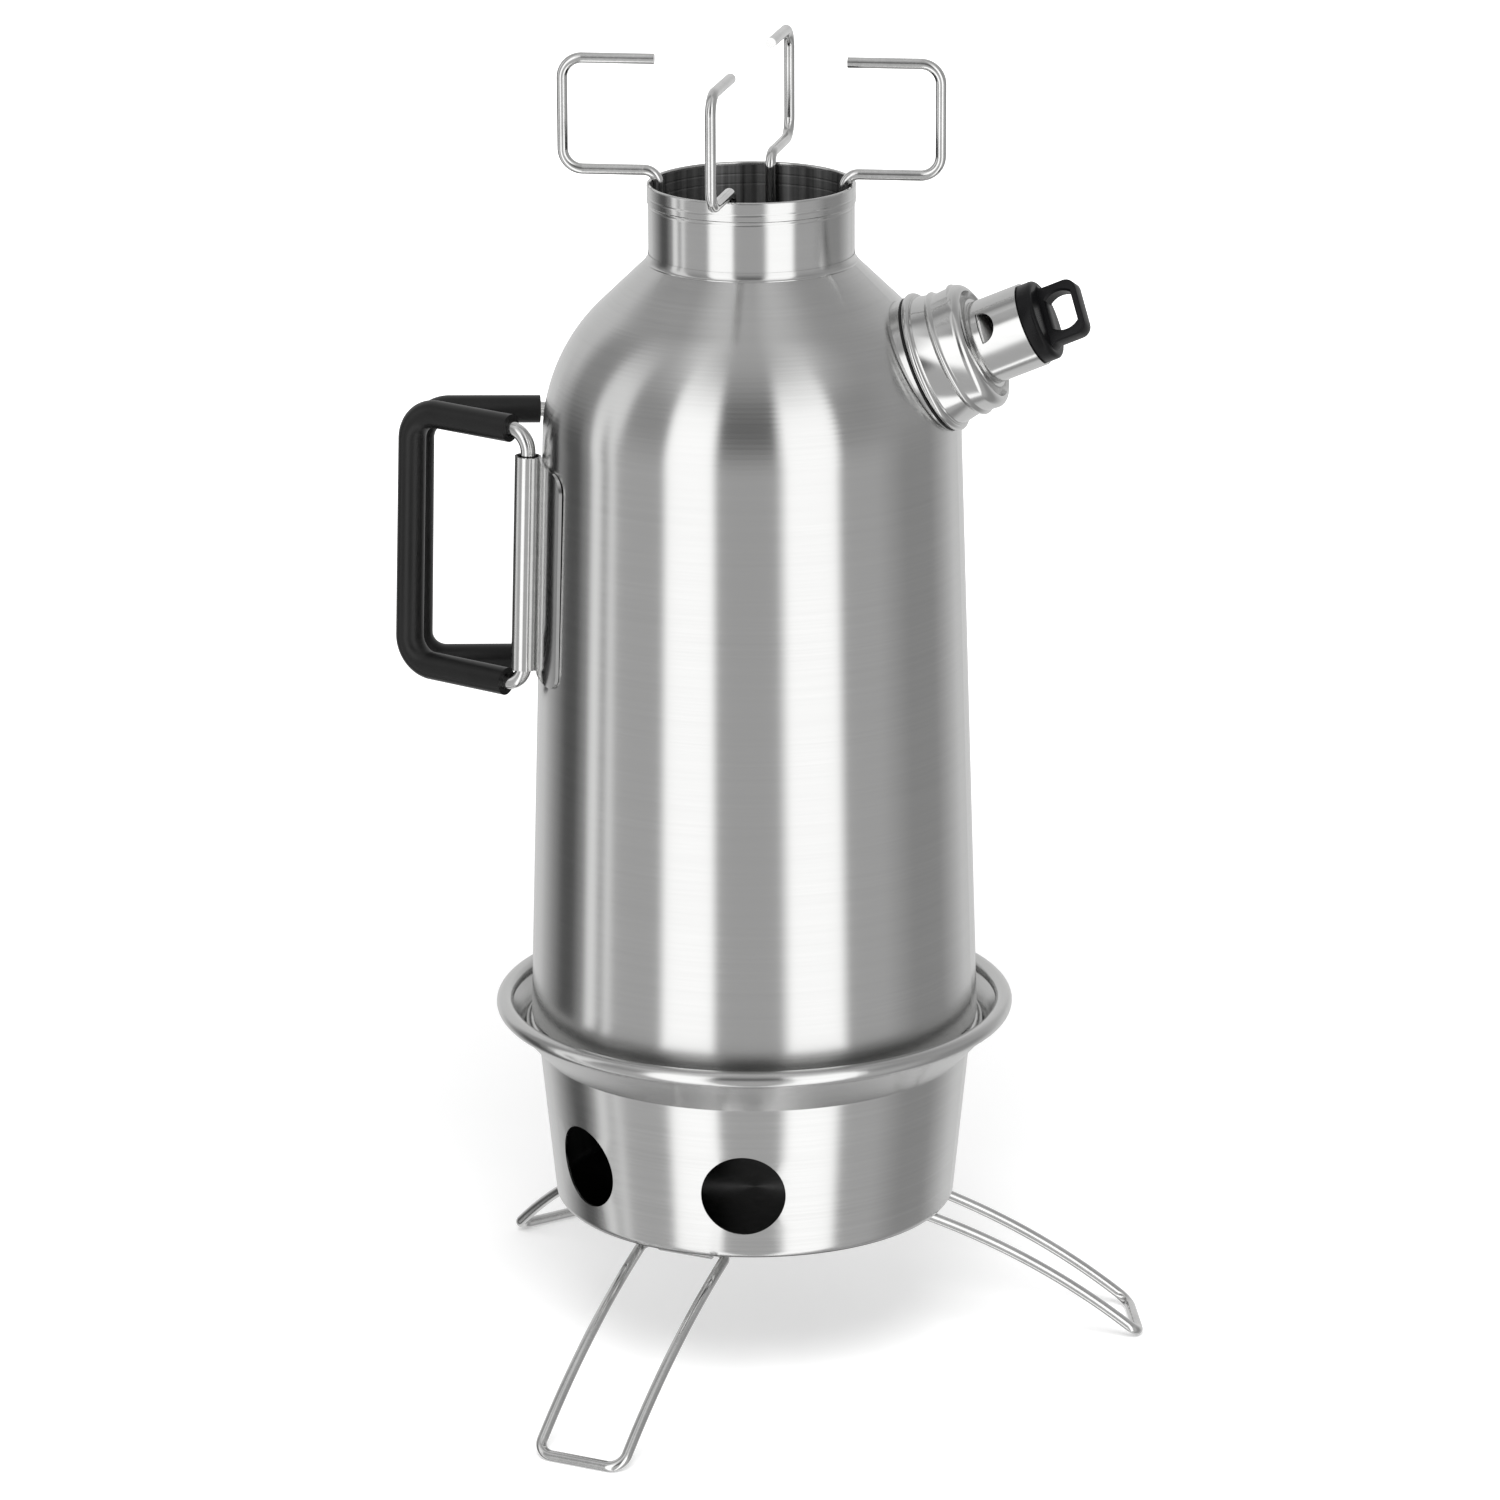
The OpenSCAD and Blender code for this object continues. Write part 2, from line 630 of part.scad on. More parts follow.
module cap_loop() {
    tab_s = loop_s + loop_ring_h;
    plug_r = whistle_r - whistle_wall - push_fit;
    hole_s = tab_s + tab_len - tab_hole_flat - tab_edge;
    color(black)
    at_spout() {
        translate([0, 0, loop_s - plug_len]) cylinder(r = plug_r, h = plug_len + ring_round);
        rotate_extrude() {
            translate([0, loop_s]) square([loop_r, loop_ring_h - ring_round]);
            translate([0, loop_s]) square([loop_r - ring_round, loop_ring_h]);
            translate([loop_r - ring_round, tab_s - ring_round]) circle(ring_round);
        }
        rotate(tab_turn) translate([0, 0, tab_s]) rotate([90, 0, 0]) linear_extrude(tab_t, center = true)
            difference() {
                tab_outline();
                translate([0, hole_s - tab_s]) intersection() {
                    circle(tab_hole_r);
                    translate([-tab_hole_r, tab_hole_flat - 3 * tab_hole_r])
                        square([2 * tab_hole_r, 3 * tab_hole_r]);
                }
            }
    }
}

// Outline of the pull tab from the ring's end face, its foot sunk in the ring and flared out to it
module tab_outline() {
    foot = loop_ring_h - ring_round;
    translate([0, (tab_len - foot) / 2]) rounded_plate(tab_w, tab_len + foot, tab_corner);
    difference() {
        translate([-tab_w / 2 - tab_foot_r, -ring_round])
            square([tab_w + 2 * tab_foot_r, ring_round + tab_foot_r]);
        for (x = [-1, 1])
            translate([x * (tab_w / 2 + tab_foot_r), tab_foot_r]) circle(tab_foot_r);
    }
}

module handle_bracket(side) {
    margin = sleeve_r + leaf_corner_r + 1;
    color(steel)
    at_hinge(side) rotate([side > 0 ? 180 : 0, 0, 0])
    intersection() {
        linear_extrude(sleeve_len + 2, center = true)
            difference() {
                union() {
                    circle(sleeve_r);
                    translate([-flank_r - hinge_off, 0]) leaf_section();
                }
                circle(sleeve_r - sleeve_sheet);
            }
        rotate([90, 0, 90]) linear_extrude(4 * leaf_w, center = true)
            translate([(leaf_w - margin) / 2, 0]) rounded_plate(leaf_w + margin, sleeve_len, leaf_corner_r);
    }
}

// Section of a bracket's leaf, a strip of sheet curved about the kettle's axis
module leaf_section() {
    intersection() {
        difference() {
            circle(flank_r + weld_gap + sleeve_sheet);
            circle(flank_r + weld_gap);
        }
        translate([0, leaf_start]) square(2 * flank_r);
    }
}

module handle_wire(side) {
    pivot = (loop_h - wire_end_gap) / 2 - loop_root_bend;
    color(wire_steel)
    at_loop(side) translate([0, 0, wire_end_gap / 2])
        bent_rod(handle_wire_d / 2, [
            [pivot, loop_root_bend, 90, 0],
            [bar_len, loop_grip_bend, 90, 0],
            [grip_len, loop_grip_bend, 90, 0],
            [bar_len, loop_root_bend, 90, 0],
            [pivot, 0, 0, 0]
        ]);
}

// The hose's path, with both ends drawn out by a length
module hose_path(side, r, extra) {
    at_loop(side) translate([loop_root_bend - extra, 0, loop_h / 2]) rotate([0, 90, 0])
        bent_rod(r, [
            [bar_len + extra, loop_grip_bend, 90, 0],
            [grip_len, loop_grip_bend, 90, 0],
            [bar_len + extra, 0, 0, 0]
        ]);
}

module handle_grip(side) {
    color(black)
    difference() {
        hose_path(side, hose_d / 2, 0);
        hose_path(side, handle_wire_d / 2 + push_fit, 1);
    }
}

module pot_support(turn, depth) {
    drop = pot_h - 2 * pot_bend;
    low_len = pot_upright_r - pot_bend - pot_leg_r - pot_neck_bend;
    neck_drop = pot_low_z - top_z + depth - 2 * pot_neck_bend;
    top_len = pot_upright_r - pot_bend - pot_end_r;
    color(wire_steel)
    rotate(pot_turn + turn) translate([pot_end_r, 0, pot_low_z + pot_h]) rotate([0, 90, 0])
        bent_rod(pot_wire_d / 2, [
            [top_len, pot_bend, 90, 0],
            [drop, pot_bend, 90, 0],
            [low_len, pot_neck_bend, 90, 180],
            [neck_drop, pot_neck_bend, 90, 180],
            [2 * (pot_leg_r - pot_neck_bend), pot_neck_bend, 90, 0],
            [neck_drop, pot_neck_bend, 90, 180],
            [low_len, pot_bend, 90, 180],
            [drop, pot_bend, 90, 0],
            [top_len, 0, 0, 0]
        ]);
}

fire_bowl();
leg_bracket(0);  // leg_bracket_1
leg_bracket(1);  // leg_bracket_2
leg_bracket(2);  // leg_bracket_3
leg(0);  // leg_1
leg(1);  // leg_2
leg(2);  // leg_3
outer_shell();
flue();
base_ring();
neck_collar();
spout_collar();
spout_neck();
spout_gasket();
whistle_cap();
whistle_tube();
whistle_disc();
cap_loop();
handle_bracket(-1);  // handle_bracket_right
handle_bracket(1);  // handle_bracket_left
handle_wire(-1);  // handle_wire_right
handle_wire(1);  // handle_wire_left
handle_grip(-1);  // handle_grip_right
handle_grip(1);  // handle_grip_left
pot_support(0, pot_depth);  // pot_support_lower
pot_support(pot_cross, pot_depth - pot_wire_d - seat_gap);  // pot_support_upper
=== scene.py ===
import json
from math import acos, asin, cos, degrees, pi, radians, sin

import bpy
from mathutils import Matrix, Vector


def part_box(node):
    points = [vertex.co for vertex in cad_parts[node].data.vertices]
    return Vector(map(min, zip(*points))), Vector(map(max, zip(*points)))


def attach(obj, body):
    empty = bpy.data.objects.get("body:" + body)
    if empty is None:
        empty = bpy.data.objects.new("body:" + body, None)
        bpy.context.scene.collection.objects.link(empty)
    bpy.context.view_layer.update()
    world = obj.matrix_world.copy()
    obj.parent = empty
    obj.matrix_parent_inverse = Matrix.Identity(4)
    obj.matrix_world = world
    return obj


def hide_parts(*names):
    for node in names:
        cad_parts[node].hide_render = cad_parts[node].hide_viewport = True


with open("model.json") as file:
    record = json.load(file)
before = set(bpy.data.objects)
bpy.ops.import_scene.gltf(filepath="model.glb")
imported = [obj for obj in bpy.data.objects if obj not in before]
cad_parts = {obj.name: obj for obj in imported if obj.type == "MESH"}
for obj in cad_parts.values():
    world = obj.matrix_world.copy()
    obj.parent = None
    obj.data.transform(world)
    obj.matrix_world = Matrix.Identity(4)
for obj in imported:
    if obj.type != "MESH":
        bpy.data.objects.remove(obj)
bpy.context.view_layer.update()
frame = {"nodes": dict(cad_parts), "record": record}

nodes = frame["nodes"]


# Shader maths

class Value:
    """A socket with arithmetic: an expression on values adds the Math nodes it needs."""

    def __init__(self, finish, socket):
        self.finish = finish
        self.socket = socket

    def math(self, operation, *others):
        """A Math node on this value and the others."""
        sockets = dict(enumerate((self, *others)))
        return self.finish.node("ShaderNodeMath", {"operation": operation}, sockets)

    def __add__(self, other):
        return self.math("ADD", other)

    def __sub__(self, other):
        return self.math("SUBTRACT", other)

    def __rsub__(self, other):
        return self.finish.node("ShaderNodeMath", {"operation": "SUBTRACT"}, {0: other, 1: self})

    def __mul__(self, other):
        return self.math("MULTIPLY", other)

    def __truediv__(self, other):
        return self.math("DIVIDE", other)

    def __pow__(self, other):
        return self.math("POWER", other)

    def clamped(self, low=0.0, high=1.0):
        return self.math("MAXIMUM", low).math("MINIMUM", high)

    def band(self, low, high, soft):
        """1 between low and high, fading to 0 over soft outside them."""
        return ((self - (low - soft)) / soft).clamped() * (((high + soft) - self) / soft).clamped()

    __radd__ = __add__
    __rmul__ = __mul__


class Finish:
    """A node tree under construction."""

    def __init__(self, tree):
        self.tree = tree

    def node(self, kind, settings=None, sockets=None, out=0):
        """A new node with its settings made and its sockets filled or linked; gives the output out."""
        n = self.tree.nodes.new(kind)
        for name, value in (settings or {}).items():
            if name == "stops":
                ramp = n.color_ramp.elements
                while len(ramp) < len(value):
                    ramp.new(0.5)
                for stop, (place, level) in zip(ramp, value):
                    stop.position = place
                    stop.color = (level, level, level, 1) if isinstance(level, (int, float)) else (*level, 1)
            else:
                setattr(n, name, value)
        for name, value in (sockets or {}).items():
            if isinstance(value, Value):
                self.tree.links.new(value.socket, n.inputs[name])
            else:
                n.inputs[name].default_value = value
        return Value(self, n.outputs[out]) if n.outputs else None

    def place(self):
        """X, Y and Z of the surface in the object's frame, in metres."""
        where = self.node("ShaderNodeTexCoord", out="Object")
        parts = self.node("ShaderNodeSeparateXYZ", sockets={0: where})
        return [Value(self, s) for s in parts.socket.node.outputs]

    def point(self, x, y, z):
        return self.node("ShaderNodeCombineXYZ", sockets={0: x, 1: y, 2: z})

    def noise(self, point, scale, detail, roughness):
        sockets = {"Vector": point, "Scale": scale, "Detail": detail, "Roughness": roughness}
        return self.node("ShaderNodeTexNoise", sockets=sockets)

    def ramp(self, value, *stops):
        return self.node("ShaderNodeValToRGB", {"stops": stops}, {0: value})

    def mix(self, share, a, b):
        return self.node("ShaderNodeMix", {"data_type": "RGBA"}, {0: share, 6: a, 7: b}, out=2)

    def bump(self, height, depth):
        return self.node("ShaderNodeBump", sockets={"Height": height, "Distance": depth, "Strength": 1.0})


def new_finish(name, **constants):
    """A material with a Principled shader whose constant sockets are set directly."""
    material = bpy.data.materials.new(name)
    material.use_nodes = True
    shader = material.node_tree.nodes["Principled BSDF"]
    for socket, value in constants.items():
        shader.inputs[socket.replace("_", " ")].default_value = value
    return material, Finish(material.node_tree), shader


def feed(finish, shader, **values):
    """Link values to the shader's sockets."""
    for socket, value in values.items():
        finish.tree.links.new(value.socket, shader.inputs[socket.replace("_", " ")])


# Finishes: lengths in metres

edge_blur = 0.0002
pressed_line_half = 0.0004
pressed_line_depth = 30.0  # times the bump of the grain


def turned_steel(
    name, shade, rough, lines=2600.0, along=9.0, grain_share=0.04, bump=0.0000025, aniso=0.9,
    inside=None, shade_levels=None, rings=(), metal=1.0,
):
    """Sheet steel brushed round the axis: fine lines that run a few centimetres round the body.

    inside gives a mask of the inner face, which is dull and darkened by painted shade between two levels;
    rings are heights of pressed lines.
    """
    material, f, shader = new_finish(name, Metallic=metal, Anisotropic=aniso, Anisotropic_Rotation=0.25)
    x, y, z = f.place()
    fine = f.noise(f.point(x * along, y * along, z * lines), 1.0, 3.0, 0.6)
    broad = f.noise(f.point(x * along * 2.2, y * along * 2.2, z * lines * 0.12), 1.0, 2.0, 0.6)
    cloud = f.noise(f.point(x, y, z), 22.0, 3.0, 0.6)
    grain = fine * 0.6 + broad * 0.4
    dark = [c * (1 - grain_share) for c in shade]
    light = [c * (1 + grain_share) for c in shade]
    tone = f.ramp(grain, (0.25, dark), (0.75, light))
    gloss = (rough + (grain - 0.5) * 2 * grain_share + (cloud - 0.5) * 0.02).clamped(0.05, 0.9)
    height = grain
    for level in rings:
        height = height - z.band(level, level, pressed_line_half) * pressed_line_depth
    # Painted shade: the inner face is made dark and streaky, standing in for the shade that falls inside the
    # bowl and the chimney.
    if inside:
        mask = inside(f, x, y, z)
        streak = f.noise(f.point(x * 300.0, y * 300.0, z * 6.0), 1.0, 3.0, 0.6)
        tone = f.mix(mask, tone, f.ramp(streak, (0.3, shade_levels[0]), (0.75, shade_levels[1])))
        gloss = gloss + mask * 0.25
    feed(f, shader, Base_Color=tone, Roughness=gloss, Normal=f.bump(height, bump))
    return material


def painted_shade_in_bowl(f, x, y, z):
    """Where shade is painted: 1 on the inner face of the bowl's wall and floor, up to the start of the seat.
    """
    wall = bowl_floor_radius + (z - bowl_floor_height) * bowl_taper - bowl_sheet / 2
    radius = (x * x + y * y) ** 0.5
    within = ((wall - radius) / edge_blur).clamped()
    above = ((z - bowl_floor_height - bowl_sheet / 2) / edge_blur).clamped()
    below = ((bowl_seat_height - z) / seat_blur).clamped()
    return within * above * below


def painted_shade_in_flue(f, x, y, z):
    """Where shade is painted: 1 on the inner face of the chimney, up to its bright rim."""
    radius = (x * x + y * y) ** 0.5
    within = ((chimney_radius - sheet / 2 - radius) / edge_blur).clamped()
    return within * ((chimney_top - bright_rim - z) / edge_blur).clamped()


def drawn_wire(name, shade, rough):
    """Drawn wire: bright, with soft scratches and slightly darker patches."""
    material, f, shader = new_finish(name, Metallic=1.0)
    x, y, z = f.place()
    scratch = f.noise(f.point(x, y, z), 900.0, 3.0, 0.65)
    patch = f.noise(f.point(x, y, z), 90.0, 2.0, 0.5)
    dull = [c * 0.86 for c in shade]
    bright = [c * 1.08 for c in shade]
    tone = f.ramp(patch * 0.6 + scratch * 0.4, (0.3, dull), (0.7, bright))
    gloss = (rough + (scratch - 0.5) * 0.08).clamped(0.05, 0.9)
    feed(f, shader, Base_Color=tone, Roughness=gloss, Normal=f.bump(scratch, 0.0000015))
    return material


def black_rubber(name, shade, rough, grain, sheen):
    """Black moulded rubber or plastic: fine pores and faint dusty patches."""
    material, f, shader = new_finish(name, Specular_IOR_Level=sheen)
    x, y, z = f.place()
    pores = f.noise(f.point(x, y, z), grain, 3.0, 0.6)
    dust = f.noise(f.point(x, y, z), 60.0, 3.0, 0.6)
    tone = f.ramp(dust, (0.35, [c * 0.8 for c in shade]), (0.75, [c * 1.5 for c in shade]))
    gloss = (rough + (dust - 0.5) * 0.2 + (pores - 0.5) * 0.1).clamped(0.1, 0.95)
    feed(f, shader, Base_Color=tone, Roughness=gloss, Normal=f.bump(pores, 0.00002))
    return material


# Sizes of the solids that the finishes follow
sheet = 0.0008
bowl_sheet = 0.0008
bowl_floor_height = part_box("fire_bowl")[0][2]
bowl_floor_radius = 0.0564
bowl_crease_radius = 0.0610
bowl_wall_height = 0.0454
bowl_taper = (bowl_crease_radius - bowl_floor_radius) / bowl_wall_height
bowl_seat_height = bowl_floor_height + bowl_wall_height
seat_blur = 0.0010
chimney_radius = 0.0284
chimney_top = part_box("flue")[1][2]
bright_rim = 0.0008
hem_depths = (0.0035, 0.0062)

polished = {"lines": 500.0, "along": 60.0, "bump": 0.0000006, "aniso": 0.0}
# Inside the bowl and the chimney, the two dark levels are painted shade.
finishes = {
    "kettle_steel": turned_steel("kettle_steel", (0.63, 0.63, 0.625), 0.20),
    "bowl_steel": turned_steel(
        "bowl_steel", (0.64, 0.64, 0.635), 0.20, lines=1500.0, along=6.0, grain_share=0.06, bump=0.000004,
        inside=painted_shade_in_bowl, shade_levels=(0.004, 0.03),
    ),
    "flue_steel": turned_steel(
        "flue_steel", (0.63, 0.63, 0.625), 0.19, inside=painted_shade_in_flue, shade_levels=(0.05, 0.36),
        rings=[chimney_top - depth for depth in hem_depths],
    ),
    "cap_steel": turned_steel("cap_steel", (0.66, 0.66, 0.655), 0.14, **polished),
    "hinge_steel": turned_steel("hinge_steel", (0.66, 0.66, 0.655), 0.13, **polished),
    "wire_steel": drawn_wire("wire_steel", (0.72, 0.72, 0.715), 0.14),
    "grip_silicone": black_rubber("grip_silicone", (0.005, 0.005, 0.005), 0.36, 1800.0, 0.36),
    "seal_silicone": black_rubber("seal_silicone", (0.006, 0.006, 0.006), 0.5, 1800.0, 0.25),
    "loop_plastic": black_rubber("loop_plastic", (0.005, 0.005, 0.0055), 0.30, 2600.0, 0.16),
}
for piece in frame["record"]["subparts"]:
    mesh = nodes[piece["node"]].data
    mesh.materials.clear()
    mesh.materials.append(finishes[piece["material_slot"]])
# Painted reflection: the whistle's disc gets a pale, mostly non-metal copy of the steel, whose light colour
# stands in for the reflection that the steel disc shows in the mouth.
nodes["whistle_disc"].data.materials[0] = turned_steel(
    "disc_steel_painted_reflection", (0.86, 0.86, 0.85), 0.5, lines=500.0, along=500.0, bump=0.000004, aniso=0.0, metal=0.2,
)


# Modelling by operators: drawings in millimetres

mm = 0.001
merge_gap = 0.001 * mm
crease_angle = radians(38.0)


def rounded(middle, radius, start, end, parts):
    """Points of an arc in the X and Z of a drawing, from start to end in degrees."""
    turns = [radians(start + (end - start) * i / parts) for i in range(parts + 1)]
    return [(middle[0] + radius * cos(t), middle[1] + radius * sin(t)) for t in turns]


def draw_outline(name, points):
    """A chain of edges in the XZ plane, extruded point by point from one vertex."""
    bpy.ops.object.select_all(action="DESELECT")
    bpy.ops.mesh.primitive_plane_add(size=mm)
    piece = bpy.context.object
    piece.name = name
    bpy.ops.object.mode_set(mode="EDIT")
    bpy.ops.mesh.select_all(action="SELECT")
    bpy.ops.mesh.merge(type="CENTER")
    places = [Vector((x, 0.0, z)) * mm for x, z in points]
    bpy.ops.transform.translate(value=places[0])
    for here, there in zip(places, places[1:]):
        bpy.ops.mesh.extrude_region_move(TRANSFORM_OT_translate={"value": there - here})
    return piece


def close_up():
    """Merge doubles and turn the faces outwards, still in edit mode."""
    bpy.ops.mesh.select_all(action="SELECT")
    bpy.ops.mesh.remove_doubles(threshold=merge_gap)
    bpy.ops.mesh.normals_make_consistent(inside=False)


def turn_on_lathe(name, points, steps=160):
    """A closed outline spun once round the Z axis."""
    piece = draw_outline(name, [*points, points[0]])
    bpy.ops.mesh.select_all(action="SELECT")
    bpy.ops.mesh.spin(steps=steps, angle=2 * pi, center=(0, 0, 0), axis=(0, 0, 1))
    close_up()
    bpy.ops.mesh.delete_loose()
    bpy.ops.object.mode_set(mode="OBJECT")
    return piece


def spin_piece(angle):
    """Turn the selection round the Z axis, from X towards Y, by an angle in degrees."""
    bpy.ops.transform.rotate(value=-radians(angle), orient_axis="Z", center_override=(0, 0, 0))


def dress(piece, name, body, node, slot):
    """Name a piece, give it the finish of its slot, and let it stand for a CAD node on its body."""
    piece.name = name
    piece.data.materials.clear()
    piece.data.materials.append(finishes[slot])
    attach(piece, body)
    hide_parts(node)


# Spout: its axis is the axis of the cap's screw

screw = next(joint for joint in frame["record"]["behaviour"]["joints"] if joint["name"] == "cap_turn")
spout_point = Vector(screw["pos_m"])
spout_axis = Vector(screw["axis"])


def along_spout(node):
    """Where a CAD node starts and ends on the spout's axis, in millimetres from the shoulder's skin."""
    places = [(corner.co - spout_point).dot(spout_axis) / mm for corner in nodes[node].data.vertices]
    return min(places), max(places)


def fit_on_spout(piece, *others):
    """Join the pieces and set their Z axis on the spout's axis."""
    bpy.ops.object.select_all(action="DESELECT")
    for other in (piece, *others):
        other.select_set(True)
    bpy.context.view_layer.objects.active = piece
    if others:
        bpy.ops.object.join()
    piece.location = spout_point
    piece.rotation_euler = (0.0, acos(spout_axis.z), 0.0)
    bpy.ops.object.transform_apply(location=True, rotation=True, scale=True)
    bpy.ops.object.shade_smooth_by_angle(angle=crease_angle)
    return piece


# Whistle cap: a pressed skirt with a rolled thread

lip_low, collar_top = along_spout("whistle_cap")
lip_outer = 20.0
lip_curl = 1.1
lip_step = 0.4
skirt_low = lip_low + 2 * lip_curl + lip_step
skirt_radius = 17.4
skirt_flare = 1.1
flare_length = 5.5
collar_rise = 0.3
cap_top = collar_top - collar_rise
crown_round = 2.5
crown_swell = 0.4
cap_bore = 16.4
tube_hole = 11.75
tube_collar = 1.0
dish = 1.8
cap_sheet = 1.0
thread_height = 0.95
thread_half = 1.5
thread_pitch = 6.0
thread_start = -100.0
thread_end = 400.0
thread_fade = 40.0
thread_step = 4.0
thread_parts = 12
thread_root = 0.05
thread_bed = 0.5
thread_at_top = lip_low + 6.7


def pressed_cap():
    """The cap's body, turned: curled lip, flared skirt, round crown and a dish round the whistle tube."""
    curl = (lip_outer - lip_curl, lip_low + lip_curl)
    crown = (skirt_radius - crown_round + crown_swell, cap_top - crown_round)
    foot = (tube_hole + tube_collar + dish, cap_top)
    flare = [(skirt_radius + skirt_flare, skirt_low), (skirt_radius, skirt_low + flare_length)]
    return turn_on_lathe("whistle_cap_body", [
        (cap_bore, lip_low),
        *rounded(curl, lip_curl, -90, 90, 12),
        (lip_outer - lip_curl, skirt_low),
        *flare,
        *rounded(crown, crown_round, 0, 90, 10),
        *rounded(foot, dish, 270, 180, 8),
        (tube_hole + tube_collar, collar_top),
        (tube_hole, collar_top),
        (tube_hole, cap_top - dish - cap_sheet),
        (cap_bore, cap_top - dish - cap_sheet),
    ])


def rolled_thread():
    """The thread's bead: a swelling of the skirt that climbs round the cap and fades out at both ends."""
    root = skirt_radius - thread_root
    bed = skirt_radius - thread_bed
    rise = thread_height + thread_root
    sides = [t / thread_parts * 2 - 1 for t in range(thread_parts + 1)]
    swell = [(root + rise * (1 + cos(pi * t)) / 2, thread_half * t) for t in sides]
    under = [(bed, thread_half), (bed, -thread_half)]
    piece = draw_outline("whistle_cap_thread", [*swell, *under, swell[0]])
    bpy.ops.mesh.select_all(action="SELECT")
    bpy.ops.mesh.remove_doubles(threshold=merge_gap)
    bpy.ops.mesh.edge_face_add()
    sunk = 1 - (rise + thread_root) / skirt_radius
    bpy.ops.transform.translate(value=(0, 0, (thread_at_top + thread_pitch * thread_start / 360) * mm))
    spin_piece(180.0 + thread_start)
    bpy.ops.transform.resize(value=(sunk, sunk, 1), center_override=(0, 0, 0))
    size = sunk
    turns = int((thread_end - thread_start) / thread_step)
    for i in range(1, turns + 1):
        from_end = min(i, turns - i) * thread_step
        share = min(1.0, from_end / thread_fade)
        wanted = sunk + (1 - sunk) * (3 - 2 * share) * share ** 2
        bpy.ops.mesh.extrude_region_move()
        spin_piece(thread_step)
        bpy.ops.transform.translate(value=(0, 0, thread_pitch * thread_step / 360 * mm))
        bpy.ops.transform.resize(value=(wanted / size, wanted / size, 1), center_override=(0, 0, 0))
        size = wanted
    close_up()
    bpy.ops.object.mode_set(mode="OBJECT")
    return piece


dress(fit_on_spout(pressed_cap(), rolled_thread()), "whistle_cap_rolled", "cap", "whistle_cap", "cap_steel")


# Neck flare: the weld lip round the chimney's foot, dressed to a hollow curve

flare_bore = 28.45
flare_edge = 0.06
flare_foot = 0.25
shoulder_rise = 0.84


def dressed_weld():
    """The lip, turned: it leaves the shoulder and runs up into the chimney without a step."""
    low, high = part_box("neck_collar")
    outer = high[0] / mm
    bottom = low[2] / mm
    top = high[2] / mm
    hollow = rounded((0.0, 0.0), 1.0, 270, 180, 10)
    reach = outer - flare_bore - flare_edge
    climb = top - bottom - flare_foot
    piece = turn_on_lathe("neck_flare", [
        (flare_bore, bottom + (outer - flare_bore) * shoulder_rise),
        (outer, bottom),
        *[(outer + x * reach, top + z * climb) for x, z in hollow],
        (flare_bore, top),
    ])
    bpy.ops.object.shade_smooth_by_angle(angle=crease_angle)
    return piece


dress(dressed_weld(), "neck_flare", "kettle", "neck_collar", "kettle_steel")


# Pull loop: a moulded ring on the tube's end with a flat tab and a hole for a cord

loop_low = along_spout("whistle_tube")[1]
loop_ring = 4.3
loop_radius = 11.2
loop_round = 1.2
loop_edge = 0.4
plug_radius = 10.85
plug_length = 4.0
tab_low = loop_low + loop_ring
tab_high = along_spout("cap_loop")[1]
tab_half = 8.1
tab_corner = 3.0
tab_foot = 1.5
foot_depth = 2.5
tab_thick = 5.6
tab_turn = -28.0
tab_edge_round = 0.6
hole_ease = 0.6
hole_radius = 5.5
hole_flat = 3.7
hole_web = 1.8
hole_middle = tab_high - hole_flat - hole_web
cutter_proud = 0.05


def moulded_ring():
    """The ring with its plug in the tube, turned."""
    outer = (loop_radius - loop_round, tab_low - loop_round)
    lower = (loop_radius - loop_edge, loop_low + loop_edge)
    return turn_on_lathe("loop_ring", [
        (0.0, loop_low - plug_length),
        (plug_radius, loop_low - plug_length),
        (plug_radius, loop_low),
        *rounded(lower, loop_edge, -90, 0, 3),
        *rounded(outer, loop_round, 0, 90, 8),
        (0.0, tab_low),
    ], steps=96)


def pulled(name, outline, levels):
    """A flat outline, filled and pulled through levels of (depth, scale), scaled about the hole's middle."""
    piece = draw_outline(name, [*outline, outline[0]])
    close_up()
    bpy.ops.mesh.edge_face_add()
    last_depth, last_scale = 0.0, 1.0
    for step, (depth, scale) in enumerate(levels):
        move = (0.0, (depth - last_depth) * mm, 0.0)
        if step:
            bpy.ops.mesh.extrude_region_move(TRANSFORM_OT_translate={"value": move})
        else:
            bpy.ops.transform.translate(value=move)
        bpy.ops.transform.resize(
            value=(scale / last_scale, 1.0, scale / last_scale),
            center_override=(0.0, 0.0, hole_middle * mm),
        )
        last_depth, last_scale = depth, scale
    close_up()
    return piece


